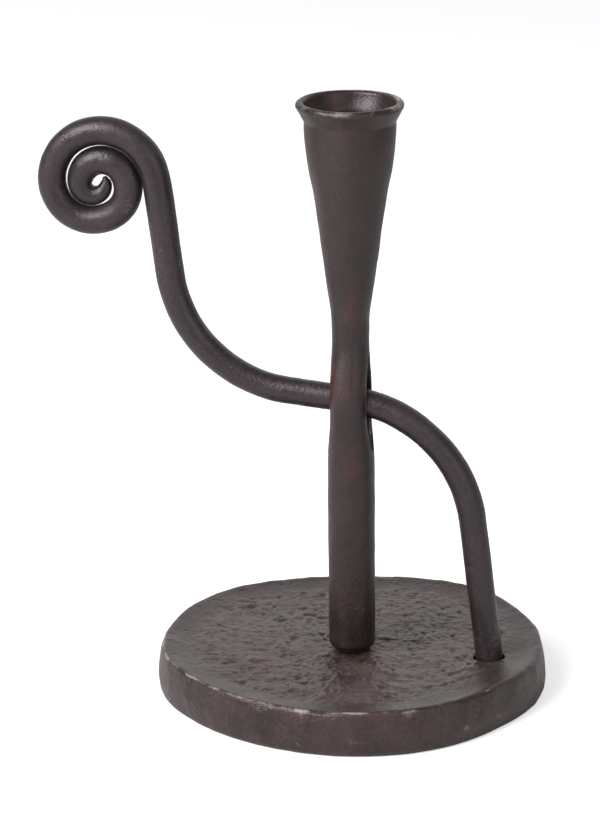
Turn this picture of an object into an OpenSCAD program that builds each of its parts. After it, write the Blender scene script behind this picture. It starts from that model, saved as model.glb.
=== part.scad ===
// Forged iron candlestick in three pieces: a thick round base plate, an upright whose stem
// opens into an eye and widens into a candle socket, and a round bar handle that stands in
// the plate, passes through the eye and ends in a tapered scroll.
// Millimetres, Z up. The origin is on the table under the middle of the upright. The handle
// lies in the XZ plane, with its foot at +X and its scroll at -X.

/* [Base plate] */
// Least diameter of the plate, at its worn lip
plate_d = 108.4; // [100:0.2:132]
// Thickness of the plate in its dished middle
floor_t = 12.3; // [10:0.1:16]
// Height of the lip above the dished middle
lip_rise_h = 1; // [0.4:0.1:2]
// Width of the sloping band inside the lip
band_w = 9; // [6:0.5:11]
// Distance that the hammered side swells past the lip
side_swell_w = 1.6; // [0.6:0.1:2.5]
// Depth to which the hammer flats cut into the side
hammer_cut_h = 0.45; // [0.1:0.05:0.9]
// Height of the lobes by which the outline strays from a circle
lobe_h = 2.4; // [0:0.1:3.5]
// Distance that the middle of the plate lies behind the upright
plate_back_l = 3.6; // [0:0.2:5]

/* [Stem] */
// Diameter of the round stem
stem_d = 13.5; // [12:0.1:15]
// Rounding at the foot of the stem
stem_foot_r = 0.9; // [0.4:0.1:1.6]
// Diameter of the narrow land that carries the stem on the plate
land_d = 11; // [10:0.1:11.6]
// Height of that land
land_h = 1.2; // [0.6:0.1:2.5]
// Diameter of the tenon that passes through the plate
stem_tenon_d = 8; // [6:0.1:9]
// Diameter of the tenon's hammered head under the plate
stem_head_d = 12; // [10.5:0.1:15]

/* [Eye] */
// Height of the middle of the eye above the table
eye_z = 88; // [80:0.5:100]
// Length of the slit that was drifted open for the bar
slit_l = 29; // [24:0.5:34]
// Length of the swelling above and below the slit
eye_root_l = 4.5; // [3:0.5:8]
// Width of the eye along the handle
eye_w = 11.2; // [10:0.1:12.6]
// Thickness of each cheek beside the bar
cheek_t = 4.3; // [3.4:0.1:5]
// Gap between the bar and each cheek
eye_gap = 0.1; // [0.05:0.05:0.3]

/* [Candle socket] */
// Diameter of the neck under the socket
neck_d = 10.6; // [9.8:0.1:11]
// Length of the straight neck
neck_l = 6; // [4:0.5:14]
// Length of the slow taper above the neck
throat_l = 34; // [26:0.5:44]
// Diameter at the end of the slow taper
throat_d = 20.2; // [17:0.1:21.5]
// Length of the quick taper above it
shoulder_l = 13.5; // [10:0.5:18]
// Diameter at the end of the quick taper
shoulder_d = 25.4; // [25:0.1:26.6]
// Length of the almost straight collar under the rim
collar_l = 8.4; // [7:0.1:12]
// Diameter at the top of the collar
collar_d = 26.2; // [25.8:0.1:27.4]
// Diameter of the rolled rim
rim_d = 30.6; // [29.6:0.1:33]
// Thickness of the roll
rim_roll_d = 2.4; // [1.8:0.1:2.8]
// Height of the flare between the collar and the middle of the roll
rim_flare_l = 5; // [4:0.1:7]
// Diameter of the bore that holds the candle
bore_d = 22.2; // [21:0.1:22.8]
// Length of the straight bore
bore_l = 11; // [8:0.5:12]
// Wall of the socket around its tapered hollow
hollow_wall = 2; // [1.4:0.1:2.4]
// Length of the tapered hollow under the bore
hollow_l = 33; // [18:0.5:38]

/* [Handle] */
// Diameter of the round bar
bar_d = 7.9; // [7:0.1:8.4]
// Angle by which the bar falls towards its foot inside the eye
cross_fall = 5.7; // [2:0.1:12]
// Radius of the arch between the eye and the leg
arch_r = 39.5; // [36:0.5:44]
// Angle that the arch turns through
arch_turn = 77.3; // [70:0.1:80]
// Distance from the middle of the upright to the outer side of the scroll
scroll_reach_l = 90.2; // [86:0.2:98]
// Radius of the sweep that lifts the bar to the scroll
sweep_r = 38; // [34:0.5:44]
// Angle that the sweep turns through
sweep_turn = 77.2; // [68:0.2:86]
// Length of the straight rise above the sweep
rise_l = 23.8; // [16:0.2:32]
// Radius of the slow bend below the scroll
crest_r = 42; // [34:1:80]
// Angle of the slow bend below the scroll
crest_turn = 8.7; // [4:0.1:14]
// Depth to which the foot of the bar is let into the plate
foot_let_in_h = 4; // [2:0.2:6]
// Gap around the foot in its hole
foot_gap = 0.5; // [0.2:0.1:0.9]
// Diameter of the tenon under the foot
foot_tenon_d = 5; // [4:0.1:5.6]
// Diameter of that tenon's hammered head
foot_head_d = 8; // [7:0.1:10]

/* [Scroll] */
// Gap between neighbouring coils of the scroll
coil_gap = 0.7; // [0.6:0.1:2.5]
// Radius of the last bend, at the tip
eyelet_r = 3.8; // [3.7:0.1:4.2]
// Length over which the bar is drawn down to its tip
taper_l = 17.8; // [17:0.2:36]
// Diameter of the tip
tip_d = 1.8; // [1.4:0.1:2.2]

/* [Fits] */
// Gap around each tenon in its hole
tenon_gap = 0.1; // [0.05:0.05:0.25]
// Depth of the hammered heads
head_h = 2; // [1.2:0.1:3]

/* [Hidden] */
$fn = 96;

iron = [0.28, 0.25, 0.24];
worn_iron = [0.36, 0.33, 0.33];
bar_iron = [0.31, 0.28, 0.28];

bar_r = bar_d / 2;
stem_r = stem_d / 2;
neck_r = neck_d / 2;
slot_w = bar_d + 2 * eye_gap;
lip_r = plate_d / 2;
lip_z = floor_t + lip_rise_h;
past = 1;              // how far a cut runs past the face that it opens

// Heights up the upright
eye_half = slit_l / 2 + eye_root_l;
eye_low = eye_z - eye_half;
eye_top = eye_z + eye_half;
cone_z = eye_top + neck_l;
throat_z = cone_z + throat_l;
shoulder_z = throat_z + shoulder_l;
collar_z = shoulder_z + collar_l;
roll_z = collar_z + rim_flare_l;
roll_r = rim_roll_d / 2;
roll_mid_r = rim_d / 2 - roll_r;
mouth_r = roll_mid_r - roll_r;
bore_top = collar_z + 1;
bore_low = bore_top - bore_l;
hollow_low = bore_low - hollow_l;

// Smooth step from 0 to 1
function ease(t) = t <= 0 ? 0 : t >= 1 ? 1 : t * t * (3 - 2 * t);

function mix(a, b, t) = a + (b - a) * t;

// Repeatable value from -1 to 1 for each whole number
function stray(i) = 2 * (abs(sin(i * 78.233 + 11) * 437.58) % 1) - 1;

// Point on a quadratic curve from a to c that leans towards b
function curve_point(a, b, c, t) = mix(mix(a, b, t), mix(b, c, t), t);

// Outline with each inner corner replaced by a curve that starts at the distance given
function rounded(p, reach, steps = 6) = [
    p[0],
    for (i = [1:len(p) - 2])
        let (before = p[i] + (p[i - 1] - p[i]) / norm(p[i - 1] - p[i]) * reach,
             after = p[i] + (p[i + 1] - p[i]) / norm(p[i + 1] - p[i]) * reach)
            for (k = [0:steps]) curve_point(before, p[i], after, k / steps),
    p[len(p) - 1]
];

// Closed solid from a stack of rings with equal numbers of points
module skin(rings) {
    n = len(rings[0]);
    last = len(rings) - 1;
    points = [for (ring = rings) each ring];
    side = [for (i = [0:last - 1], k = [0:n - 1])
        let (a = i * n + k, b = i * n + (k + 1) % n, c = b + n, d = a + n)
            each [[a, c, b], [a, d, c]]];
    low_cap = [for (k = [0:n - 1]) k];
    top_cap = [for (k = [n - 1:-1:0]) last * n + k];
    polyhedron(points, concat(side, [low_cap, top_cap]));
}

// Base plate

plate_sides = 96;
flat_count = 25;       // hammer flats in each of two rows around the side
side_steps = 7;
widest_at = 0.32;      // share of the plate's height at which its side is widest
low_swell = 0.35;      // share of the swelling that is left at the lower edge

// Lobes that the hammer left on the outline: direction, spread and share of the full height
lobes = [
    [65, 36, 1.2], [146, 44, 1.4], [196, 44, 0.7],
    [255, 36, 0.25], [292, 42, 0.9], [354, 30, 0.15]
];

// Share of a lobe's height that is left in direction a
function lobe(a, middle, spread) =
    let (off = min(abs(a - middle), 360 - abs(a - middle)))
        off < spread ? pow(cos(90 * off / spread), 2) : 0;

// Radius of the lip in one direction
function lip_radius(a) = lip_r
    + lobe_h * ([for (b = lobes) b[2] * lobe(a, b[0], b[1])] * [for (b = lobes) 1]);

// Outward swelling of the side at a share t of its height
function swell(t) = side_swell_w * (t > widest_at
    ? cos(90 * (t - widest_at) / (1 - widest_at))
    : mix(low_swell, 1, sqrt(1 - pow((widest_at - t) / widest_at, 4))));

// Cut of the nearest hammer flat, deepest in the middle of the flat
function flat_cut(a, t) =
    let (row = t > 0.5 ? 1 : 0,
         u = (a + 9 * row) / 360 * flat_count,
         i = floor(u),
         depth = hammer_cut_h * (0.6 + 0.4 * stray(i % flat_count + 40 * row)))
        depth * (1 - pow(2 * (u - i) - 1, 2)) * ease(sin(180 * t) * 1.5);

function side_ring(t) = [for (k = [0:plate_sides - 1])
    let (a = 360 * k / plate_sides, r = lip_radius(a) + swell(t) - flat_cut(a, t))
        [r * cos(a), r * sin(a), lip_z * t]];

function top_ring(inset, z) = [for (k = [0:plate_sides - 1])
    let (a = 360 * k / plate_sides, r = lip_radius(a) - inset)
        [r * cos(a), r * sin(a), z]];

module hammered_plate() {
    lip_w = 0.9;
    skin(concat(
        [for (i = [0:side_steps]) side_ring(i / (side_steps + 0.5))],
        [top_ring(0, lip_z - 0.25)],
        [top_ring(lip_w / 2, lip_z)],
        [top_ring(lip_w, lip_z)],
        [top_ring(lip_w + band_w / 3, mix(floor_t, lip_z, 0.45))],
        [top_ring(lip_w + band_w * 2 / 3, mix(floor_t, lip_z, 0.12))],
        [top_ring(lip_w + band_w, floor_t)]
    ));
}

// Tenon up to the height given, hammered out under the plate into a conical head. It runs
// past the table, so that the plate's underside or a level cut can end it flush.
module headed_tenon(tenon_d, head_d, height, gap = 0) {
    spread = (head_d - tenon_d) / 2 / head_h;
    translate([0, 0, -past]) cylinder(r = tenon_d / 2 + gap, h = height + past);
    translate([0, 0, -past])
        cylinder(r1 = head_d / 2 + spread * past + gap, r2 = tenon_d / 2 + gap, h = head_h + past);
}

// Dresses what its children leave under the plate flush with the plate's underside
module dressed_flush() {
    reach = 2 * lip_r;
    difference() {
        children();
        translate([-reach / 2, -reach / 2, -reach]) cube(reach);
    }
}

// Moves what stands upright on the table to the leg of the handle and leans it like the leg
module at_leg() {
    translate([leg_table_x, 0, 0]) rotate([0, -leg_lean, 0]) children();
}

module base_plate() {
    color(worn_iron) difference() {
        translate([0, plate_back_l, 0]) hammered_plate();
        headed_tenon(stem_tenon_d, stem_head_d, floor_t + past, tenon_gap);
        at_leg() {
            headed_tenon(foot_tenon_d, foot_head_d, foot_seat + past, tenon_gap);
            translate([0, 0, foot_seat]) cylinder(r = bar_r + foot_gap, h = foot_let_in_h + 2 * past);
        }
    }
}

// Upright

eye_sides = 40;
eye_rings = 24;
eye_tuck = 0.8;        // how far the ends of the eye's skin run into the round parts
eye_step = 0.03;       // how much smaller the ends of the skin are than the round parts

// Half width of the eye along the handle at height z
function eye_half_w(z) = mix(mix(stem_r, eye_w / 2, ease((z - eye_low) / (eye_half * 0.74))),
    neck_r, ease((z - eye_z) / eye_half));

// Half breadth of the eye across the handle at height z
function eye_half_b(z) =
    let (plain = mix(stem_r, neck_r, ease((z - eye_low) / (2 * eye_half))),
         full = slot_w / 2 + cheek_t,
         middle = (stem_r + neck_r) / 2)
        plain + (full - middle) * (1 - ease(abs(z - eye_z) / eye_half));

// Ring of the eye: round at the ends of the swelling and squarer where the cheeks are
function eye_ring(z, level, inset) =
    let (power = 2 / mix(2, 3, 1 - ease(abs(z - eye_z) / eye_half)),
         a = eye_half_w(z) - inset, b = eye_half_b(z) - inset)
        [for (k = [0:eye_sides - 1])
            let (c = cos(360 * k / eye_sides), s = sin(360 * k / eye_sides))
                [a * sign(c) * pow(abs(c), power), b * sign(s) * pow(abs(s), power), level]];

module eye_swelling() {
    skin(concat(
        [eye_ring(eye_low, eye_low - eye_tuck, 2 * eye_step + eye_tuck)],
        [for (i = [0:eye_rings])
            let (z = eye_low + 2 * eye_half * i / eye_rings) eye_ring(z, z, eye_step)],
        [eye_ring(eye_top, eye_top + eye_tuck, 2 * eye_step + eye_tuck)]
    ));
}

// Pointed slot across the eye, bounded by two arcs that meet at the ends of the slit
module drifted_slot() {
    arc_r = (pow(slit_l / 2, 2) + pow(slot_w / 2, 2)) / slot_w;
    reach = stem_d;
    translate([0, 0, eye_z]) rotate([0, 90, 0]) translate([0, 0, -reach]) intersection() {
        translate([0, arc_r - slot_w / 2, 0]) cylinder(r = arc_r, h = 2 * reach);
        translate([0, slot_w / 2 - arc_r, 0]) cylinder(r = arc_r, h = 2 * reach);
    }
}

module stem() {
    foot_z = floor_t + land_h;
    rotate_extrude() polygon(concat(
        [[0, floor_t], [land_d / 2, floor_t], [land_d / 2, foot_z]],
        [for (k = [0:6]) let (a = -90 + 15 * k)
            [stem_r + stem_foot_r * (cos(a) - 1), foot_z + stem_foot_r * (1 + sin(a))]],
        [[stem_r, eye_low], [0, eye_low]]
    ));
}

// Outline of the socket from the neck to the crease under the rolled rim
function socket_outline() = rounded([
    [neck_r, eye_top],
    [neck_r, cone_z],
    [throat_d / 2, throat_z],
    [shoulder_d / 2, shoulder_z],
    [collar_d / 2, collar_z]
], 3);

// Outline of the hollow from its floor to the mouth
function hollow_outline() =
    let (floor_r = (neck_r + (throat_d / 2 - neck_r) * (hollow_low - cone_z) / throat_l) - hollow_wall)
        [
            [0, hollow_low - floor_r * 0.3],
            [floor_r * 0.7, hollow_low],
            [floor_r, hollow_low + floor_r * 0.6],
            [throat_d / 2 - hollow_wall, throat_z],
            [bore_d / 2, bore_low],
            [bore_d / 2, bore_top],
            [mouth_r - 0.3, roll_z - roll_r],
            [mouth_r, roll_z]
        ];

crease = 0.25;         // depth of the crease under the rim

module socket() {
    roll = [for (k = [0:12]) let (a = -35 + 215 * k / 12)
        [roll_mid_r + roll_r * cos(a), roll_z + roll_r * sin(a)]];
    inside = hollow_outline();
    rotate_extrude() polygon(concat(
        [[0, eye_top]],
        socket_outline(),
        [[collar_d / 2 - crease, collar_z + 2 * crease]],
        roll,
        [for (k = [len(inside) - 2:-1:0]) inside[k]]
    ));
}

module upright() {
    color(iron) difference() {
        union() {
            dressed_flush() headed_tenon(stem_tenon_d, stem_head_d, floor_t + past);
            stem();
            eye_swelling();
            socket();
        }
        drifted_slot();
    }
}

// Scroll handle

bar_sides = 24;
ring_turn = 7;         // degrees of bend between two rings of the body
coil_ring_turn = 10;   // the same in the scroll, whose bends are tighter

leg_lean = 90 - cross_fall - arch_turn;

// Place on the bar's centre line: x, z and heading after a stretch of one length and turn
function onward(p, stretch, share = 1) =
    let (l = stretch[0] * share, t = stretch[1] * share, h = p[2])
        t == 0
            ? [p[0] + l * cos(h), p[1] + l * sin(h), h]
            : let (r = l / (t * PI / 180))
                [p[0] + r * (sin(h + t) - sin(h)), p[1] - r * (cos(h + t) - cos(h)), h + t];

function bend(r, turn) = [abs(r * turn) * PI / 180, turn];

function way_length(way) = [for (s = way) s[0]] * [for (s = way) 1];

// Start of every stretch, and the end of the last
function stations(start, way) =
    [for (i = 0, p = start; i <= len(way); p = i < len(way) ? onward(p, way[i]) : p, i = i + 1) p];

// Closely spaced places along a way, each with the distance from its start
function places(start, way, turn_step) =
    let (at = stations(start, way))
        [for (i = 0, run = 0; i < len(way); run = run + way[i][0], i = i + 1)
            let (n = max(1, ceil(abs(way[i][1]) / turn_step)))
                for (k = [0:n - 1]) concat(onward(at[i], way[i], k / n), run + way[i][0] * k / n)];

// From the eye down to the plate
arch = [bend(arch_r, -arch_turn)];
arch_end = stations([0, eye_z, -cross_fall], arch)[1];
leg_table_x = arch_end[0] + arch_end[1] * tan(leg_lean);
foot_seat = floor_t / cos(leg_lean) - foot_let_in_h;
leg_foot = [leg_table_x - foot_seat * sin(leg_lean), foot_seat * cos(leg_lean)];
leg_l = norm([arch_end[0], arch_end[1]] - leg_foot);

// Each bend of the scroll is tighter than the one before: how many coils it lies outside the
// last bend, and the angle that it turns through
coil_bends = [[1.33, 155], [0.9, 143], [0.6, 79], [0.355, 143], [0, 200]];
coil_way = [for (b = coil_bends) bend(eyelet_r + b[0] * (bar_d + coil_gap), b[1])];

// From the foot through the eye to the start of the scroll. The straight run beside the eye
// takes up what is left of the scroll's reach.
lift_way = [bend(sweep_r, -sweep_turn), [rise_l, 0], bend(crest_r, crest_turn)];
beyond_run = places([0, eye_z, 180 - cross_fall], concat(lift_way, coil_way), ring_turn);
run_l = (scroll_reach_l - bar_r + min([for (p = beyond_run) p[0]])) / cos(cross_fall);
body_way = concat([[leg_l, 0], bend(arch_r, arch_turn), [run_l, 0]], lift_way);
foot_place = [leg_foot[0], leg_foot[1], 180 - cross_fall - arch_turn];
coil_start = stations(foot_place, body_way)[len(body_way)];
coil_l = way_length(coil_way);

// Radius of the bar at a distance from the end of its tip
function bar_radius(to_tip) = mix(tip_d / 2, bar_r, pow(min(1, to_tip / taper_l), 0.52));

function bar_ring(p, r) = [for (k = [0:bar_sides - 1])
    let (a = 360 * (k + 0.5) / bar_sides)
        [p[0] - r * cos(a) * sin(p[2]), -r * sin(a), p[1] + r * cos(a) * cos(p[2])]];

module scroll_handle() {
    body = places(foot_place, body_way, ring_turn);
    coil = places(coil_start, coil_way, coil_ring_turn);
    tip = stations(coil_start, coil_way)[len(coil_way)];
    tip_r = tip_d / 2;
    color(bar_iron) union() {
        skin(concat(
            [for (p = body) bar_ring(p, bar_r)],
            [for (p = coil) bar_ring(p, bar_radius(coil_l - p[3]))],
            [for (a = [15:25:65]) bar_ring(onward(tip, [tip_r * sin(a), 0]), tip_r * cos(a))]
        ));
        dressed_flush() at_leg() headed_tenon(foot_tenon_d, foot_head_d, foot_seat + past);
    }
}

base_plate();
upright();
scroll_handle();
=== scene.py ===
from math import radians

import bpy
import numpy as np
from mathutils import Matrix, Vector


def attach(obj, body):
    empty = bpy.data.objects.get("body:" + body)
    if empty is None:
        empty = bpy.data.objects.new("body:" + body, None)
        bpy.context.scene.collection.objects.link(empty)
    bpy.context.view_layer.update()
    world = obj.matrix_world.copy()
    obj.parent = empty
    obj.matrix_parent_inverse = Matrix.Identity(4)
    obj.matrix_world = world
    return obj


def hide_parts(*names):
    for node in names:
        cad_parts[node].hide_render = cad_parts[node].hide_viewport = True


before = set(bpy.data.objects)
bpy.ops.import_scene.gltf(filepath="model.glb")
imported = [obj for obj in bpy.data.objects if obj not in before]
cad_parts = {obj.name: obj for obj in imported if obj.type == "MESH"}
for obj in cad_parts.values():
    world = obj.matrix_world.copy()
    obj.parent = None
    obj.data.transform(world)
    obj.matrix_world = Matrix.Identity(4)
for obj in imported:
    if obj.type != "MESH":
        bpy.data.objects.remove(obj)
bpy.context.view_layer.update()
print("frame loaded:", ", ".join(sorted(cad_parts)))

toMetres = 0.001  # shapes are worked out in millimetres



def smoothStep(low, high, x):
    t = np.clip((x - low) / (high - low), 0, 1)
    return t * t * (3 - 2 * t)


def mixed(a, b, t):
    return a + (b - a) * t


def hashed(i, j, k, seed):
    # repeatable value from -1 to 1 for each cell i, j, k
    h = (np.asarray(i).astype(np.int64) * 73856093
         ^ np.asarray(j).astype(np.int64) * 19349663
         ^ np.asarray(k).astype(np.int64) * 83492791
         ^ seed * 26544357)
    h = (h ^ (h >> 13)) * 1274126177 & 0xFFFFFFFF
    h = (h ^ (h >> 16)) * 2246822519 & 0xFFFFFFFF
    return ((h >> 8) & 0xFFFF) / 32767.5 - 1


def cloud(points, size, seed):
    # random values on a lattice of the given size, blended smoothly between its eight corners
    q = points / size
    cell = np.floor(q)
    f = q - cell
    f = f * f * (3 - 2 * f)
    total = np.zeros(points.shape[:-1])
    for corner in range(8):
        d = np.array([corner & 1, corner >> 1 & 1, corner >> 2])
        weight = np.prod(np.where(d == 1, f, 1 - f), axis=-1)
        c = cell + d
        total += weight * hashed(c[..., 0], c[..., 1], c[..., 2], seed)
    return total


def clouds(points, size, seed, octaves=4, fall=0.55):
    # sum of clouds, each half the size of the one before and fall times as high
    total = np.zeros(points.shape[:-1])
    height = 1.0
    for i in range(octaves):
        total += height * cloud(points, size / 2 ** i, seed + i)
        height *= fall
    return total


def flats(along, around, pitch, count, seed):
    # hammer flats: 1 in the middle of each jittered cell, 0 on the ridge between two of them
    a = along / pitch
    b = around * count
    ca, cb = np.floor(a), np.floor(b)
    nearest = np.full(np.broadcast(a, b).shape, 9.0)
    for da in (-1, 0, 1):
        for db in (-1, 0, 1):
            ia, ib = ca + da, (cb + db) % count
            offA = a - ca - da - 0.5 - 0.32 * hashed(ia, ib, 0, seed)
            offB = b - cb - db - 0.5 - 0.32 * hashed(ia, ib, 1, seed)
            nearest = np.minimum(nearest, offA ** 2 + offB ** 2)
    return np.clip(1 - nearest / 0.55, 0, 1)



def profileLine(points, step, soften):
    # polyline resampled at equal steps, its corners worn round by a moving mean of the width soften
    p = np.array(points, float)
    run = np.concatenate([[0], np.cumsum(np.hypot(*np.diff(p, axis=0).T))])
    n = int(round(run[-1] / step)) + 1
    s = np.linspace(0, run[-1], n)
    line = np.stack([np.interp(s, run, p[:, k]) for k in range(p.shape[1])], 1)
    reach = max(1, int(round(soften / step / 2)))
    for _ in range(2):
        before = 2 * line[:1] - line[reach:0:-1]
        after = 2 * line[-1:] - line[-2:-reach - 2:-1]
        padded = np.concatenate([before, line, after])
        sums = np.cumsum(np.concatenate([np.zeros((1, p.shape[1])), padded]), axis=0)
        line = (sums[2 * reach + 1:] - sums[:-2 * reach - 1]) / (2 * reach + 1)
    return line


def closedSkin(name, grid):
    # closed mesh from rings of points (ring, point, xyz), both ends capped by a fan
    m, n, _ = grid.shape
    points = np.concatenate([grid.reshape(-1, 3), grid[0].mean(0)[None], grid[-1].mean(0)[None]]) * toMetres
    i, k = np.meshgrid(np.arange(m - 1), np.arange(n), indexing="ij")
    a = i * n + k
    b = i * n + (k + 1) % n
    quads = np.stack([a, b, b + n, a + n], -1).reshape(-1, 4)
    k = np.arange(n)
    low = np.stack([np.full(n, m * n), (k + 1) % n, k], -1)
    high = np.stack([np.full(n, m * n + 1), (m - 1) * n + k, (m - 1) * n + (k + 1) % n], -1)
    fans = np.concatenate([low, high])
    corners = np.concatenate([quads.ravel(), fans.ravel()]).astype(np.int32)
    fanStarts = len(quads) * 4 + np.arange(len(fans)) * 3
    starts = np.concatenate([np.arange(len(quads)) * 4, fanStarts]).astype(np.int32)
    mesh = bpy.data.meshes.new(name)
    mesh.vertices.add(len(points))
    mesh.vertices.foreach_set("co", points.astype(np.float32).ravel())
    mesh.loops.add(len(corners))
    mesh.loops.foreach_set("vertex_index", corners)
    mesh.polygons.add(len(starts))
    mesh.polygons.foreach_set("loop_start", starts)
    mesh.update(calc_edges=True)
    mesh.validate()
    piece = bpy.data.objects.new(name, mesh)
    bpy.context.scene.collection.objects.link(piece)
    return piece


def carved(piece, cutters):
    # piece with the space of every cutter taken away, and the cutters gone
    for cutter in cutters:
        cut = piece.modifiers.new("carve", "BOOLEAN")
        cut.operation = "DIFFERENCE"
        cut.solver = "EXACT"
        cut.object = cutter
    bpy.context.view_layer.update()
    whole = piece.evaluated_get(bpy.context.evaluated_depsgraph_get())
    mesh = bpy.data.meshes.new_from_object(whole)
    piece.modifiers.clear()
    old = piece.data
    piece.data = mesh
    mesh.name = piece.name
    bpy.data.meshes.remove(old)
    for cutter in cutters:
        bpy.data.meshes.remove(cutter.data)
    return piece


def pointsOf(piece):
    co = np.empty(len(piece.data.vertices) * 3, np.float32)
    piece.data.vertices.foreach_get("co", co)
    return co.reshape(-1, 3).astype(float) / toMetres


def paint(piece, layer, values):
    # number from 0 to 1 at each point of the piece, for its material
    made = piece.data.attributes.new(layer, "FLOAT", "POINT")
    made.data.foreach_set("value", np.clip(values, 0, 1).astype(np.float32))


def finishMesh(piece, edgeAngle=38):
    piece.data.polygons.foreach_set("use_smooth", np.ones(len(piece.data.polygons), bool))
    piece.data.set_sharp_from_angle(angle=radians(edgeAngle))
    piece.data.update()



plate = {
    "lipRadius": 54.2,
    "back": 3.6,            # the middle of the plate lies behind the stem
    "floor": 12.3,
    "lobeHeight": 2.4,
    "lobes": [(65, 36, 1.2), (146, 44, 1.4), (196, 44, 0.7),
              (255, 36, 0.25), (292, 42, 0.9), (354, 30, 0.15)],  # middle, spread, share
    "skinInset": 12.0,      # the lip's profile starts this far inside the outline
    "noiseRing": 54,
    "around": 480,
    "flatDepth": 0.55,
    "pitDepth": 0.19,
    "ripple": 0.08,
}
leg = {"x": 41.8525, "lean": 7.0, "seat": 8.392, "tenon": 2.5, "head": 4.0, "headHeight": 2.0, "gap": 0.1}
stemTenon = {"radius": 4.0, "head": 6.0}
bar = {"radius": 3.95, "footGap": 0.5}


def lipRadius(angle):
    # least radius plus a raised cosine for each lobe, plus the small strays of the hammer
    r = np.full(np.shape(angle), plate["lipRadius"])
    for middle, spread, share in plate["lobes"]:
        off = np.abs((angle - middle + 180) % 360 - 180)
        wave = np.cos(np.radians(90 * off / spread)) ** 2
        r = r + plate["lobeHeight"] * share * np.where(off < spread, wave, 0)
    a = np.radians(angle)
    ring = np.stack([np.cos(a), np.sin(a), np.zeros(np.shape(a))], -1) * plate["noiseRing"]
    return r + 0.16 * clouds(ring, 9, 11, 3) - 0.1


def makePlate():
    # profile of the lip and the side as (inset from the outline, height), dish first
    outline = profileLine([
        (12.0, 12.3), (9.6, 12.3), (6.6, 12.44), (3.6, 12.78), (1.0, 13.28), (0.35, 13.34),
        (-0.1, 13.1), (-0.45, 12.4), (-1.0, 10.4), (-1.45, 7.4), (-1.6, 4.6), (-1.45, 2.0), (-1.0, 0.7),
        (-0.1, 0.0), (3.0, 0.0), (12.0, 0.0),
    ], 0.42, 0.7)
    outline[outline[:, 1] < 0, 1] = 0
    angle = np.arange(plate["around"]) * 360 / plate["around"]
    lip = lipRadius(angle)[None]
    inner = np.linspace(0, 1, 92)[1:-1]
    share = np.concatenate([inner, np.ones(len(outline)), np.linspace(1, 0, 16)[1:-1]])[:, None]
    skin = plate["skinInset"]
    inset = np.concatenate([np.full(len(inner), skin), outline[:, 0], np.full(14, skin)])[:, None]
    z = np.concatenate([np.full(len(inner), plate["floor"]), outline[:, 1], np.zeros(14)])[:, None]
    # rings from the middle of the dish over the lip and down the side to the middle of the underside
    r = (lip - inset) * share
    c, s = np.cos(np.radians(angle))[None], np.sin(np.radians(angle))[None]
    x, y = r * c, r * s
    z = z + np.zeros_like(x)
    flat = np.stack([x, y, np.zeros_like(x)], -1)
    edge = lip - r
    top = smoothStep(11.6, 12.2, z) * (edge > -0.3)
    inside = smoothStep(6.5, 12, edge + 1.6 * clouds(flat, 16, 21, 2)) * top
    scale = clouds(flat, 2.6, 31, 3, 0.72)
    broad = clouds(flat, 17, 41, 3)
    pits = -np.clip(clouds(flat, 2.1, 51, 2) - 0.42, 0, 1)
    z = z + inside * (plate["pitDepth"] * scale + 0.24 * broad + 0.6 * pits)
    z = z + inside * plate["ripple"] * clouds(flat, 7, 43, 2)
    z = z + top * (1 - inside) * (0.05 * scale + 0.12 * broad)
    # lip: its height and edge stray where the hammer caught it
    nearLip = smoothStep(3.0, 0.2, edge) * top
    rim = np.stack([plate["noiseRing"] * c + 0 * x, plate["noiseRing"] * s + 0 * x, 0 * x], -1)
    z = z + nearLip * (0.22 * clouds(rim, 13, 61, 3))
    # side: hammer flats, then roughness
    side = smoothStep(0.2, 2.4, z) * smoothStep(13.3, 11.4, z) * (edge < 0.4)
    f = flats(z + 2, angle[None] / 360 + 0 * z, 7.5, 34, 71)
    r = r - side * plate["flatDepth"] * (f - 0.35) * (0.6 + 0.4 * cloud(rim, 18, 81))
    whole = np.stack([x, y, z], -1)
    r = r + side * (0.09 * clouds(whole, 4.5, 91, 3))
    x, y = r * c, r * s
    grid = np.stack([x, y + plate["back"], np.maximum(z, 0)], -1)
    return closedSkin("basePlate", grid[::-1])


def leaned(grid):
    # moves rings that stand upright on the table to the leg of the handle and leans them like the leg
    t = radians(-leg["lean"])
    x, z = grid[..., 0], grid[..., 2]
    out = grid.copy()
    out[..., 0] = leg["x"] + x * np.cos(t) + z * np.sin(t)
    out[..., 2] = -x * np.sin(t) + z * np.cos(t)
    return out


def turnedRings(profile, around):
    # (radius, z) pairs carried round the z axis
    a = np.arange(around) * 2 * np.pi / around
    r, z = np.array(profile, float).T
    return np.stack([r[:, None] * np.cos(a), r[:, None] * np.sin(a), z[:, None] + 0 * a], -1)


def plateHoles():
    g = leg["gap"]
    stemHole = turnedRings([
        (stemTenon["head"] + 1 + g, -1), (stemTenon["head"] + g, 0), (stemTenon["radius"] + g, 2),
        (stemTenon["radius"] + g, 16)], 96)
    barHole = bar["radius"] + bar["footGap"]
    legHole = turnedRings([
        (leg["head"] + 0.75 + g, -1), (leg["head"] + g, 0),
        (leg["tenon"] + g, leg["headHeight"]), (leg["tenon"] + g, leg["seat"] - 0.02),
        (barHole, leg["seat"] + 0.02), (barHole, 11.6), (barHole + 0.1, 12.1), (barHole + 0.5, 12.9)], 96)
    return [closedSkin("stemHole", stemHole), closedSkin("legHole", leaned(legHole))]


basePlate = carved(makePlate(), plateHoles())
print("base plate:", len(basePlate.data.polygons), "faces")



upright = {
    "around": 176,
    "step": 0.5,
    "eyeMiddle": 88.0, "eyeHalf": 19.0,
    "slotHalfLength": 14.5, "slotHalfWidth": 4.05, "cheek": 4.3,
    "flatDepth": 0.16,
}
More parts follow.
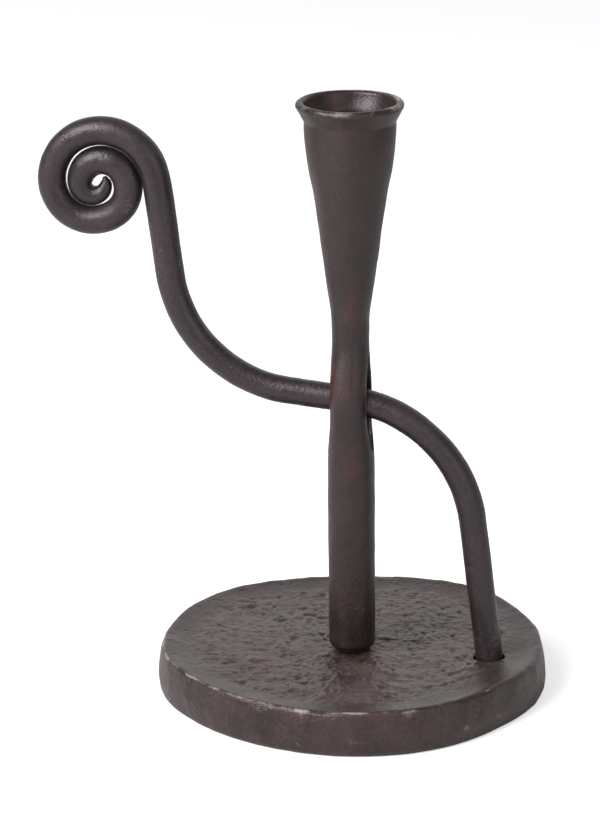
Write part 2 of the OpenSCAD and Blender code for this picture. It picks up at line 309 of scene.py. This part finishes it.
# radius of the upright at heights above the table, from the foot to the crease under the rim
uprightRadii = np.array([
    (15, 6.84), (58, 6.84), (66, 6.78), (70.4, 6.68), (72.8, 6.57), (75.2, 6.35), (77.6, 6.06),
    (80, 5.78), (83, 5.63), (88, 5.58), (94.4, 5.62), (96.8, 5.56), (99.2, 5.48), (101.5, 5.42),
    (103.9, 5.35), (106.3, 5.3), (108.6, 5.33), (111, 5.4), (113.35, 5.53), (115.7, 5.76), (118, 6.08),
    (120.4, 6.41), (122.75, 6.76), (125.1, 7.13), (127.4, 7.47), (132.1, 8.09), (136.8, 8.66), (139.1, 8.97),
    (143.7, 9.6), (146, 9.95), (148.3, 10.31), (150.65, 10.72), (155.25, 11.63),
    (157.5, 12.07), (159.8, 12.44),
    (162.1, 12.68), (164.4, 12.84), (167.85, 13.02), (168.9, 12.98),
])


def uprightProfile():
    # (radius, height) pairs from the tenon's head under the plate, up, over the rim and down the hollow
    foot = [(5.9, 0), (4.0, 2.0), (4.0, 12.1), (5.5, 12.35), (5.5, 13.35)]
    turn = np.radians(np.arange(-80, 1, 16))
    foot += [(6.75 + 0.9 * (np.cos(a) - 1), 14.4 + 0.9 * np.sin(a)) for a in turn]
    body = [(r, z) for z, r in uprightRadii]
    turn = np.radians(np.linspace(-42, 180, 16))
    roll = [(14.07 + 1.21 * np.cos(a), 173.87 + 1.21 * np.sin(a)) for a in turn]
    hollow = [(12.6, 172.6), (11.1, 169.9), (11.1, 158.9), (8.1, 147),
              (5.2, 129), (3.6, 125.9), (0.4, 124.4)]
    first = profileLine(foot[:5], 0.5, 0.05)
    outer = profileLine(foot[4:] + body[1:], upright["step"], 0.5)
    rim = profileLine([outer[-1], (12.98, 169.4)] + roll, 0.22, 0.3)
    inner = profileLine([tuple(rim[-1])] + hollow, 0.7, 0.8)
    return np.concatenate([first, outer[1:], rim[1:], inner[1:]])


def makeUpright():
    line = uprightProfile()
    r0, z0 = line[:, :1], line[:, 1:]
    a = np.arange(upright["around"]) * 2 * np.pi / upright["around"]
    c, s = np.cos(a)[None], np.sin(a)[None]
    outside = np.zeros(len(line), bool)
    outside[:np.argmax(line[:, 1])] = True
    outside = outside[:, None]
    # eye: the section changes from round to a superellipse that is broader across the bar
    near = 1 - smoothStep(0, 1, np.abs(z0 - upright["eyeMiddle"]) / upright["eyeHalf"])
    near = np.where(outside, near, 0)
    full = upright["slotHalfWidth"] + upright["cheek"]
    breadth = mixed(r0, full, near)
    power = 2 / mixed(2, 2.8, near)
    x = r0 * np.sign(c) * np.abs(c) ** power
    y = breadth * np.sign(s) * np.abs(s) ** power
    z = z0 + 0 * x
    # the socket leans a little to the right, as the hammer left it
    x = x + 0.3 * smoothStep(100, 165, z)
    flat = np.stack([x, y, z], -1)
    marks = flats(z, a[None] / (2 * np.pi) + 0 * z, 11, 9, 17)
    wave = clouds(flat, 15, 27, 3)
    fine = clouds(flat, 3.2, 37, 3)
    onBody = smoothStep(14, 17, z) * np.where(outside, 1, 0)
    onCup = smoothStep(112, 130, z) * np.where(outside, 1, 0) * (1 - smoothStep(166, 169, z))
    dents = upright["flatDepth"] * (marks - 0.4) * mixed(0.6, 1, onCup)
    depth = onBody * (0.1 * wave + 0.035 * fine - dents)
    onRim = smoothStep(171, 173, z)
    depth = depth + onRim * (0.14 * clouds(flat, 7, 47, 2))
    length = np.hypot(x, y) + 1e-6
    x, y = x + depth * x / length, y + depth * y / length
    z = z + onRim * 0.22 * cloud(flat, 10, 57)
    return closedSkin("uprightForging", np.stack([x, y, z], -1))


def slotCutter():
    # pointed slot across the eye: two arcs that meet at its ends, flared where the edges are worn
    L, w = upright["slotHalfLength"], upright["slotHalfWidth"]
    arcRadius = (L * L + w * w) / (2 * w)
    n = 64
    t = np.linspace(-1, 1, n // 2, endpoint=False)
    reach = np.degrees(np.arcsin(L / arcRadius))
    oneSide = np.radians(t * reach)
    zed = np.concatenate([arcRadius * np.sin(oneSide), -arcRadius * np.sin(oneSide)])
    half = arcRadius * np.cos(oneSide) - (arcRadius - w)
    wide = np.concatenate([half, -half])
    x = np.linspace(-10, 10, 81)[:, None]
    # distance by which the slot widens near the faces of the cheeks
    worn = 1.1 * smoothStep(4.3, 6.6, np.abs(x)) ** 1.6
    y = wide[None] + worn * np.sign(wide)[None] * (np.abs(wide)[None] > 1e-6)
    z = zed[None] * (1 + 0.05 * worn) + 0 * x
    grid = np.stack([x + 0 * y, y, z + upright["eyeMiddle"]], -1)
    grid[..., 1] += 0.07 * clouds(grid, 3, 67, 3)
    grid[..., 2] += 0.07 * clouds(grid + 50, 3, 77, 3)
    return closedSkin("slot", grid)


uprightForging = carved(makeUpright(), [slotCutter()])
print("upright:", len(uprightForging.data.polygons), "faces")



handle = {
    "legTop": 53.51,        # height of the end of the straight leg
    "archRadius": 39.5, "archTurn": 77.3,
    "run": 18.357, "sweepRadius": 38.0, "sweepTurn": 77.2,
    "rise": 23.8, "crestRadius": 42.0, "crestTurn": 8.7,
    "coils": [(1.33, 155), (0.9, 143), (0.6, 79), (0.355, 143), (0, 200)],
    "coilGap": 0.7, "coilSwell": 0.16, "eyelet": 3.8, "taper": 17.8, "tip": 0.9,
    "around": 60, "step": 0.38,
}


def handleStretches():
    # length and turn in degrees of each stretch, from the seat in the plate to the tip
    t = radians(leg["lean"])
    top = handle["legTop"]
    arcEndX = leg["x"] - top * np.tan(t)
    legLength = np.hypot(arcEndX - (leg["x"] - leg["seat"] * np.sin(t)), top - leg["seat"] * np.cos(t))
    bends = [(handle["archRadius"], handle["archTurn"]), (0, handle["run"]),
             (handle["sweepRadius"], -handle["sweepTurn"]), (0, handle["rise"]),
             (handle["crestRadius"], handle["crestTurn"])]
    pitch = 2 * bar["radius"] + handle["coilGap"]
    bends += [(handle["eyelet"] + share * pitch, turn) for share, turn in handle["coils"]]
    ways = [(legLength, 0.0)]
    for radius, turn in bends:
        ways.append((turn, 0.0) if radius == 0 else (abs(radius * np.radians(turn)), turn))
    return ways


def handleLine():
    # places along the bar: x, z, heading and distance; each stretch starts where the last one ended
    t = radians(leg["lean"])
    x, z, h, run = leg["x"] - leg["seat"] * np.sin(t), leg["seat"] * np.cos(t), 90 + leg["lean"], 0.0
    rows = []
    for length, turn in handleStretches():
        n = max(2, int(round(length / handle["step"])))
        u = np.arange(n + 1) / n
        if turn == 0:
            xs, zs = x + length * u * np.cos(radians(h)), z + length * u * np.sin(radians(h))
        else:
            radius = length / radians(turn)
            hs = np.radians(h + turn * u)
            xs = x + radius * (np.sin(hs) - np.sin(radians(h)))
            zs = z - radius * (np.cos(hs) - np.cos(radians(h)))
        rows.append(np.stack([xs, zs, h + turn * u, run + length * u], -1)[:-1])
        x, z, h, run = xs[-1], zs[-1], h + turn, run + length
    rows.append(np.array([[x, z, h, run]]))
    return np.concatenate(rows)


def makeHandle():
    line = handleLine()
    total = line[-1, 3]
    n = handle["around"]
    a = (np.arange(n) * 2 * np.pi / n)[None]
    x, z, h, run = [line[:, k:k + 1] for k in range(4)]
    left = np.clip((total - run) / handle["taper"], 0, 1)
    thick = bar["radius"] + handle["coilSwell"] * smoothStep(150, 175, run)
    r = thick * mixed(handle["tip"] / bar["radius"], 1, left ** 0.52)
    # rounded tip: a few rings past the end
    turn = np.radians(np.arange(12, 86, 12))[:, None]
    tipX = x[-1] + handle["tip"] * np.sin(turn) * np.cos(np.radians(h[-1]))
    tipZ = z[-1] + handle["tip"] * np.sin(turn) * np.sin(np.radians(h[-1]))
    x, z = np.concatenate([x, tipX]), np.concatenate([z, tipZ])
    h = np.concatenate([h, np.full_like(turn, h[-1, 0])])
    run = np.concatenate([run, total + handle["tip"] * np.sin(turn)])
    r = np.concatenate([r, handle["tip"] * np.cos(turn)])
    hr = np.radians(h)
    round_ = np.stack([-np.cos(a) * np.sin(hr), -np.sin(a) + 0 * hr, np.cos(a) * np.cos(hr)], -1)
    centre = np.stack([x, 0 * x, z], -1)
    base = centre + r[..., None] * round_
    marks = flats(run, a / (2 * np.pi) + 0 * run, 12, 5, 19)
    depth = 0.07 * clouds(base, 13, 29, 3) + 0.03 * clouds(base, 2.6, 39, 3) - 0.11 * (marks - 0.4)
    depth = depth * np.clip(r / bar["radius"], 0.15, 1) * smoothStep(-0.1, 1.2, run)
    grid = centre + (r + depth)[..., None] * round_
    # foot: shoulder in the plate, then the tenon and its head, cut level with the table
    footProfile = [(4.6, -0.6), (leg["head"], 0), (leg["tenon"], leg["headHeight"]),
                   (leg["tenon"], leg["seat"] - 0.05),
                   (bar["radius"] - 0.3, leg["seat"] - 0.02)]
    foot = leaned(turnedRings(footProfile, n)[:, ::-1])
    foot = np.roll(foot, -(n // 2) + 1, axis=1)
    whole = np.concatenate([foot, grid])
    whole[..., 2] = np.maximum(whole[..., 2], 0)
    return closedSkin("scrollHandle", whole)


scrollHandle = makeHandle()
print("handle:", len(scrollHandle.data.polygons), "faces")



def paintPlate():
    p = pointsOf(basePlate)
    x, y, z = p[:, 0], p[:, 1] - plate["back"], p[:, 2]
    r = np.hypot(x, y)
    angle = np.degrees(np.arctan2(y, x))
    edge = lipRadius(angle) - r
    rim = np.stack([x / r, y / r, 0 * x], -1) * plate["noiseRing"]
    breakUp = clouds(p, 4, 15, 3)
    lip = np.exp(-((edge - 0.15) / 0.4) ** 2) * smoothStep(12.3, 13.0, z)
    # the lip is rubbed all round; it is painted lighter most at the front left, 245 degrees round, which is
    # a painted highlight on the side that faces the key lamp
    fromKeyLampSide = np.abs((angle - 245 + 180) % 360 - 180)
    lipRubAndHighlight = (0.12 + 0.5 * smoothStep(75, 20, fromKeyLampSide)) * (1 + 0.6 * clouds(rim, 22, 25, 2))
    valley = flats(z + 2, angle / 360, 7.5, 34, 71)
    ridge = smoothStep(0.35, 0.05, valley) * smoothStep(1, 3, z) * (edge < 0)
    low = smoothStep(1.6, 0.4, z) * (edge < 1)
    rubbedAndLit = lip * np.clip(lipRubAndHighlight + 0.4 * breakUp, 0.1, 1)
    paint(basePlate, "wearAndLight", rubbedAndLit + 0.35 * ridge * (breakUp > 0) + 0.3 * low)
    inside = smoothStep(6.5, 12, edge + 1.6 * clouds(np.stack([x, y, 0 * x], -1), 16, 21, 2))
    paint(basePlate, "tone", inside * smoothStep(11.2, 12, z))


def paintUpright():
    p = pointsOf(uprightForging)
    z = p[:, 2]
    r = np.hypot(p[:, 0], p[:, 1])
    rim = smoothStep(172.6, 174.6, z) * smoothStep(12.9, 14, r)
    # edge of the slot: distance from its outline, worn where the flare meets the face, and painted lighter
    # there as painted light on the slot's cheeks, which lie in shade
    off = np.abs(z - upright["eyeMiddle"])
    slotHalf = upright["slotHalfWidth"] * np.clip(1 - (off / upright["slotHalfLength"]) ** 2, 0, 1)
    away = np.abs(np.abs(p[:, 1]) - slotHalf - 0.5)
    slotEdgeWearAndLight = smoothStep(0.9, 0.1, away) * smoothStep(3.6, 4.8, np.abs(p[:, 0])) * smoothStep(14, 10, off)
    paint(uprightForging, "wearAndLight", rim * (0.42 + 0.5 * clouds(p, 6, 35, 2)) + 0.42 * slotEdgeWearAndLight)
    paint(uprightForging, "tone", 0.5 + 0.5 * clouds(p, 30, 45, 3))


def paintHandle():
    p = pointsOf(scrollHandle)
    paint(scrollHandle, "wearAndLight", 0.3 * smoothStep(0.2, 0.9, clouds(p, 9, 55, 3)))
    paint(scrollHandle, "tone", 0.5 + 0.5 * clouds(p, 25, 65, 3))


paintPlate()
paintUpright()
paintHandle()
for piece, angle in ((basePlate, 50), (uprightForging, 42), (scrollHandle, 60)):
    finishMesh(piece, angle)



def linear(red, green, blue):
    # screen colour from 0 to 255 as the linear colour of a shader
    c = np.array([red, green, blue]) / 255
    return tuple(np.where(c <= 0.04045, c / 12.92, ((c + 0.055) / 1.055) ** 2.4)) + (1.0,)


def newGroup(name, inputs, outputs):
    group = bpy.data.node_groups.new(name, "ShaderNodeTree")
    for label, kind, value in inputs:
        made = group.interface.new_socket(label, in_out="INPUT", socket_type="NodeSocket" + kind)
        if value is not None:
            made.default_value = value
    for label, kind in outputs:
        group.interface.new_socket(label, in_out="OUTPUT", socket_type="NodeSocket" + kind)
    return group, group.nodes.new("NodeGroupInput"), group.nodes.new("NodeGroupOutput")


def put(tree, kind, settings=None, values=None):
    node = tree.nodes.new(kind)
    for key, value in (settings or {}).items():
        setattr(node, key, value)
    for key, value in (values or {}).items():
        node.inputs[key].default_value = value
    return node


def ramp(tree, low, high):
    # smooth step from 0 at low to 1 at high
    return put(tree, "ShaderNodeMapRange", {"interpolation_type": "SMOOTHSTEP"},
               {"From Min": low, "From Max": high})


def makeGrain():
    # height of fine scale and pits: two noises, and round pits where a cell pattern dips under a threshold
    g, given, out = newGroup("scaleGrain", [("Vector", "Vector", None), ("Grain", "Float", 900.0),
                             ("Pits", "Float", 0.5)], [("Height", "Float"), ("Mask", "Float")])
    fine = put(g, "ShaderNodeTexNoise", values={"Detail": 5.0, "Roughness": 0.62})
    g.links.new(given.outputs["Vector"], fine.inputs["Vector"])
    g.links.new(given.outputs["Grain"], fine.inputs["Scale"])
    half = put(g, "ShaderNodeMath", {"operation": "MULTIPLY"}, {1: 0.45})
    g.links.new(given.outputs["Grain"], half.inputs[0])
    cells = put(g, "ShaderNodeTexVoronoi", {"feature": "F1"}, {"Randomness": 1.0})
    g.links.new(given.outputs["Vector"], cells.inputs["Vector"])
    g.links.new(half.outputs[0], cells.inputs["Scale"])
    pit = ramp(g, 0.0, 0.45)
    pit.inputs["To Min"].default_value, pit.inputs["To Max"].default_value = -1.0, 0.0
    g.links.new(cells.outputs["Distance"], pit.inputs["Value"])
    where = put(g, "ShaderNodeTexNoise", values={"Detail": 2.0})
    g.links.new(given.outputs["Vector"], where.inputs["Vector"])
    third = put(g, "ShaderNodeMath", {"operation": "MULTIPLY"}, {1: 0.18})
    g.links.new(given.outputs["Grain"], third.inputs[0])
    g.links.new(third.outputs[0], where.inputs["Scale"])
    gate = ramp(g, 0.5, 0.62)
    g.links.new(where.outputs[0], gate.inputs["Value"])
    pits = put(g, "ShaderNodeMath", {"operation": "MULTIPLY"})
    g.links.new(pit.outputs[0], pits.inputs[0])
    g.links.new(gate.outputs[0], pits.inputs[1])
    scaled = put(g, "ShaderNodeMath", {"operation": "MULTIPLY"})
    g.links.new(pits.outputs[0], scaled.inputs[0])
    g.links.new(given.outputs["Pits"], scaled.inputs[1])
    total = put(g, "ShaderNodeMath", {"operation": "ADD"})
    g.links.new(fine.outputs[0], total.inputs[0])
    g.links.new(scaled.outputs[0], total.inputs[1])
    g.links.new(total.outputs[0], out.inputs["Height"])
    g.links.new(fine.outputs[0], out.inputs["Mask"])
    return g


def makePatina():
    # colour of the oxide: a slow drift between two browns and thin rust in patches
    g, given, out = newGroup("oxidePatina", [("Vector", "Vector", None), ("Deep", "Color", (0, 0, 0, 1)),
                             ("Pale", "Color", (1, 1, 1, 1)), ("Rust", "Color", (1, 1, 1, 1)),
                             ("Rust Amount", "Float", 0.3), ("Size", "Float", 60.0)],
                             [("Color", "Color"), ("Mask", "Float")])
    slow = put(g, "ShaderNodeTexNoise", values={"Detail": 5.0, "Roughness": 0.6})
    g.links.new(given.outputs["Vector"], slow.inputs["Vector"])
    g.links.new(given.outputs["Size"], slow.inputs["Scale"])
    spread = ramp(g, 0.33, 0.68)
    g.links.new(slow.outputs[0], spread.inputs["Value"])
    two = put(g, "ShaderNodeMix", {"data_type": "RGBA"})
    g.links.new(spread.outputs[0], two.inputs["Factor"])
    g.links.new(given.outputs["Deep"], two.inputs["A"])
    g.links.new(given.outputs["Pale"], two.inputs["B"])
    moved = put(g, "ShaderNodeMapping", values={"Location": (0.13, 0.07, 0.31)})
    g.links.new(given.outputs["Vector"], moved.inputs["Vector"])
    patch = put(g, "ShaderNodeTexNoise", values={"Detail": 4.0, "Roughness": 0.55})
    g.links.new(moved.outputs[0], patch.inputs["Vector"])
    g.links.new(given.outputs["Size"], patch.inputs["Scale"])
    gate = ramp(g, 0.52, 0.7)
    g.links.new(patch.outputs[0], gate.inputs["Value"])
    amount = put(g, "ShaderNodeMath", {"operation": "MULTIPLY"})
    g.links.new(gate.outputs[0], amount.inputs[0])
    g.links.new(given.outputs["Rust Amount"], amount.inputs[1])
    rusted = put(g, "ShaderNodeMix", {"data_type": "RGBA"})
    g.links.new(amount.outputs[0], rusted.inputs["Factor"])
    g.links.new(two.outputs["Result"], rusted.inputs["A"])
    g.links.new(given.outputs["Rust"], rusted.inputs["B"])
    g.links.new(rusted.outputs["Result"], out.inputs["Color"])
    g.links.new(spread.outputs[0], out.inputs["Mask"])
    return g


def makeRubbedAndLit():
    # worn places and painted highlights: the painted wear and painted light, broken up by fine noise, as a
    # mask
    g, given, out = newGroup("rubbedEdgeAndLight", [("Vector", "Vector", None), ("WearAndLight", "Float", 0.0),
                             ("Break", "Float", 700.0)], [("Mask", "Float")])
    noise = put(g, "ShaderNodeTexNoise", values={"Detail": 4.0, "Roughness": 0.7})
    g.links.new(given.outputs["Vector"], noise.inputs["Vector"])
    g.links.new(given.outputs["Break"], noise.inputs["Scale"])
    both = put(g, "ShaderNodeMath", {"operation": "ADD"})
    g.links.new(noise.outputs[0], both.inputs[0])
    g.links.new(given.outputs["WearAndLight"], both.inputs[1])
    gate = ramp(g, 0.72, 1.25)
    g.links.new(both.outputs[0], gate.inputs["Value"])
    g.links.new(gate.outputs[0], out.inputs["Mask"])
    return g


scaleGrain, oxidePatina, rubbedEdgeAndLight = makeGrain(), makePatina(), makeRubbedAndLit()

# bare: colour of rubbed iron, which also paints the highlight on the plate's lip and the light on the slot's
# edges
finishes = {
    "plateIron": {
        "deep": (36, 27, 25), "pale": (52, 41, 39), "middleDeep": (38, 29, 27), "middlePale": (78, 64, 61),
        "rust": (64, 42, 35), "rustAmount": 0.35, "size": 75.0, "bareAndHighlight": (142, 129, 129),
        "grain": 900.0, "pits": 0.7, "bump": 0.00026, "rough": (0.27, 0.42), "wornRough": 0.34,
        "tint": (1.0, 0.88, 0.87)},
    "uprightIron": {
        "deep": (28, 21, 20), "pale": (36, 28, 26), "middleDeep": (32, 24, 22), "middlePale": (46, 35, 32),
        "rust": (68, 36, 29), "rustAmount": 0.45, "size": 60.0, "bareAndHighlight": (122, 111, 112),
        "grain": 1300.0, "pits": 0.35, "bump": 0.00012, "rough": (0.32, 0.46), "wornRough": 0.32,
        "tint": (1.0, 0.9, 0.93)},
    "barIron": {
        "deep": (32, 26, 25), "pale": (42, 35, 34), "middleDeep": (35, 29, 28), "middlePale": (46, 38, 37),
        "rust": (52, 36, 32), "rustAmount": 0.2, "size": 60.0, "bareAndHighlight": (118, 108, 112),
        "grain": 1100.0, "pits": 0.5, "bump": 0.00017, "rough": (0.28, 0.42), "wornRough": 0.3,
        "tint": (0.98, 0.88, 1.0)},
}


def forgedIron(name):
    look = finishes[name]
    material = bpy.data.materials.new(name)
    material.use_nodes = True
    t = material.node_tree
    t.nodes.clear()
    out = put(t, "ShaderNodeOutputMaterial")
    surface = put(t, "ShaderNodeBsdfPrincipled", values={"Metallic": 0.0, "IOR": 1.5})
    surface.inputs["Specular Tint"].default_value = (*look["tint"], 1.0)
    t.links.new(surface.outputs[0], out.inputs["Surface"])
    where = put(t, "ShaderNodeTexCoord").outputs["Object"]
    wearAndLight = put(t, "ShaderNodeAttribute", {"attribute_name": "wearAndLight"}).outputs["Fac"]
    tone = put(t, "ShaderNodeAttribute", {"attribute_name": "tone"}).outputs["Fac"]
    coats = []
    for deep, pale in (("deep", "pale"), ("middleDeep", "middlePale")):
        patina = put(t, "ShaderNodeGroup", {"node_tree": oxidePatina}, {
            "Deep": linear(*look[deep]), "Pale": linear(*look[pale]), "Rust": linear(*look["rust"]),
            "Rust Amount": look["rustAmount"], "Size": look["size"]})
        t.links.new(where, patina.inputs["Vector"])
        coats.append(patina)
    coat = put(t, "ShaderNodeMix", {"data_type": "RGBA"})
    t.links.new(tone, coat.inputs["Factor"])
    t.links.new(coats[0].outputs["Color"], coat.inputs["A"])
    t.links.new(coats[1].outputs["Color"], coat.inputs["B"])
    grain = put(t, "ShaderNodeGroup", {"node_tree": scaleGrain},
                {"Grain": look["grain"], "Pits": look["pits"]})
    t.links.new(where, grain.inputs["Vector"])
    speck = put(t, "ShaderNodeMapRange",
                values={"From Min": 0.3, "From Max": 0.7, "To Min": 0.62, "To Max": 1.38})
    t.links.new(grain.outputs["Mask"], speck.inputs["Value"])
    spotted = put(t, "ShaderNodeMix", {"data_type": "RGBA", "blend_type": "MULTIPLY"}, {"Factor": 1.0})
    t.links.new(coat.outputs["Result"], spotted.inputs["A"])
    t.links.new(speck.outputs[0], spotted.inputs["B"])
    # rubbed places, real wear and painted highlights alike, turn towards the bare colour
    rubbedAndLit = put(t, "ShaderNodeGroup", {"node_tree": rubbedEdgeAndLight}, {"Break": 800.0})
    t.links.new(where, rubbedAndLit.inputs["Vector"])
    t.links.new(wearAndLight, rubbedAndLit.inputs["WearAndLight"])
    worn = put(t, "ShaderNodeMix", {"data_type": "RGBA"})
    worn.inputs["B"].default_value = linear(*look["bareAndHighlight"])
    t.links.new(rubbedAndLit.outputs["Mask"], worn.inputs["Factor"])
    t.links.new(spotted.outputs["Result"], worn.inputs["A"])
    t.links.new(worn.outputs["Result"], surface.inputs["Base Color"])
    rough = put(t, "ShaderNodeMapRange", values={"To Min": look["rough"][0], "To Max": look["rough"][1]})
    t.links.new(coats[0].outputs["Mask"], rough.inputs["Value"])
    shine = put(t, "ShaderNodeMix", {"data_type": "FLOAT"}, {"B": look["wornRough"]})
    t.links.new(rubbedAndLit.outputs["Mask"], shine.inputs["Factor"])
    t.links.new(rough.outputs[0], shine.inputs["A"])
    t.links.new(shine.outputs["Result"], surface.inputs["Roughness"])
    bump = put(t, "ShaderNodeBump", values={"Strength": 1.0, "Distance": look["bump"]})
    t.links.new(grain.outputs["Height"], bump.inputs["Height"])
    t.links.new(bump.outputs[0], surface.inputs["Normal"])
    return material


for piece, node, name, slot in (
        (basePlate, "base_plate", "plateIron", "plate_iron"),
        (uprightForging, "upright", "uprightIron", "upright_iron"),
        (scrollHandle, "scroll_handle", "barIron", "bar_iron")):
    piece.data.materials.clear()
    piece.data.materials.append(forgedIron(name))
    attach(piece, "root")
    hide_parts(node)
print("materials made")



studio = {
    "floorColour": 0.8, "floorLift": 0.55, "floorRadius": 6.0,
    "sheetWidth": 7.0, "sheetHeight": 3.2, "sheetBehind": 3.5,
    "worldLight": 0.42,
    "keyPower": 31.0, "keySize": 0.9, "keyFrom": (-0.75, -0.95, 1.0), "keyColour": (1.0, 0.98, 1.0),
    "fillPower": 3.0, "fillSize": 0.7, "fillFrom": (0.9, -0.9, 0.5),
}


def makeFloor():
    # disc of paper under the object, lit by the lamps, lifted to white for the camera alone
    a = np.arange(128) * 2 * np.pi / 128
    ring = np.stack([np.cos(a), np.sin(a), 0 * a], -1) * studio["floorRadius"] / toMetres
    rings = np.stack([ring, ring - [0, 0, 5.0]])
    floor = closedSkin("paperFloor", rings[::-1])
    material = bpy.data.materials.new("paper")
    material.use_nodes = True
    t = material.node_tree
    t.nodes.clear()
    out = put(t, "ShaderNodeOutputMaterial")
    c = studio["floorColour"]
    matt = put(t, "ShaderNodeBsdfDiffuse", values={"Color": (c, c, c, 1)})
    lift = put(t, "ShaderNodeEmission", values={"Color": (1, 1, 1, 1)})
    ray = put(t, "ShaderNodeLightPath")
    much = put(t, "ShaderNodeMath", {"operation": "MULTIPLY"}, {1: studio["floorLift"]})
    t.links.new(ray.outputs["Is Camera Ray"], much.inputs[0])
    t.links.new(much.outputs[0], lift.inputs["Strength"])
    both = put(t, "ShaderNodeAddShader")
    t.links.new(matt.outputs[0], both.inputs[0])
    t.links.new(lift.outputs[0], both.inputs[1])
    t.links.new(both.outputs[0], out.inputs["Surface"])
    floor.data.materials.append(material)


def makeBackdrop():
    # upright sheet of white paper behind the object, out of the picture, seen only in reflections
    half, high = studio["sheetWidth"] / 2 / toMetres, studio["sheetHeight"] / toMetres
    behind = studio["sheetBehind"] / toMetres
    face = np.array([[-half, 0, 10], [half, 0, 10], [half, 0, high], [-half, 0, high]])
    sheet = closedSkin("paperSheet", np.stack([face + [0, behind, 0], face + [0, behind + 5, 0]]))
    material = bpy.data.materials.new("whiteSheet")
    material.use_nodes = True
    t = material.node_tree
    t.nodes.clear()
    out = put(t, "ShaderNodeOutputMaterial")
    glow = put(t, "ShaderNodeEmission", values={"Color": (1, 1, 1, 1)})
    ray = put(t, "ShaderNodeLightPath")
    either = put(t, "ShaderNodeMath", {"operation": "MAXIMUM"})
    t.links.new(ray.outputs["Is Camera Ray"], either.inputs[0])
    t.links.new(ray.outputs["Is Glossy Ray"], either.inputs[1])
    t.links.new(either.outputs[0], glow.inputs["Strength"])
    t.links.new(glow.outputs[0], out.inputs["Surface"])
    sheet.data.materials.append(material)


def makeLamp(name, place, size, power, colour, aim=(0, 0, 0.09)):
    light = bpy.data.lights.new(name, "AREA")
    light.shape = "SQUARE"
    light.size, light.energy, light.color = size, power, colour
    lamp = bpy.data.objects.new(name, light)
    lamp.location = place
    lamp.rotation_euler = (Vector(aim) - Vector(place)).to_track_quat("-Z", "Y").to_euler()
    bpy.context.scene.collection.objects.link(lamp)


def makeWorld():
    world = bpy.data.worlds.new("studio")
    bpy.context.scene.world = world
    world.use_nodes = True
    t = world.node_tree
    t.nodes.clear()
    out = put(t, "ShaderNodeOutputWorld")
    seen = put(t, "ShaderNodeBackground", values={"Color": (1, 1, 1, 1), "Strength": 1.0})
    lit = put(t, "ShaderNodeBackground", values={"Color": (1, 1, 1, 1), "Strength": studio["worldLight"]})
    ray = put(t, "ShaderNodeLightPath")
    both = put(t, "ShaderNodeMixShader")
    t.links.new(ray.outputs["Is Camera Ray"], both.inputs[0])
    t.links.new(lit.outputs[0], both.inputs[1])
    t.links.new(seen.outputs[0], both.inputs[2])
    t.links.new(both.outputs[0], out.inputs["Surface"])


view = {"from": (0.190447, -0.982744, 0.404508), "to": (-0.01424, -0.00297, 0.08199),
        "lens": 157.78, "roll": 0.6}


def makeCamera():
    camera = bpy.data.objects.new("camera", bpy.data.cameras.new("camera"))
    camera.data.lens = view["lens"]  # on a 36 mm sensor along the picture's long side
    forward = (Vector(view["to"]) - Vector(view["from"])).normalized()
    right = forward.cross(Vector((0, 0, 1))).normalized()
    up = right.cross(forward)
    t = radians(view["roll"])
    tilted = Matrix.Rotation(t, 3, forward)
    right, up = tilted @ right, tilted @ up
    turned = Matrix((right, up, -forward)).transposed()
    camera.matrix_world = Matrix.Translation(view["from"]) @ turned.to_4x4()
    camera.data.clip_start, camera.data.clip_end = 0.05, 50
    bpy.context.scene.collection.objects.link(camera)
    bpy.context.scene.camera = camera


makeFloor()
makeBackdrop()
makeWorld()
makeLamp("keyLamp", studio["keyFrom"], studio["keySize"], studio["keyPower"], studio["keyColour"])
makeLamp("fillLamp", studio["fillFrom"], studio["fillSize"], studio["fillPower"], (1, 0.97, 0.95))
makeCamera()
bpy.context.scene.view_settings.view_transform = "Standard"
print("studio made")
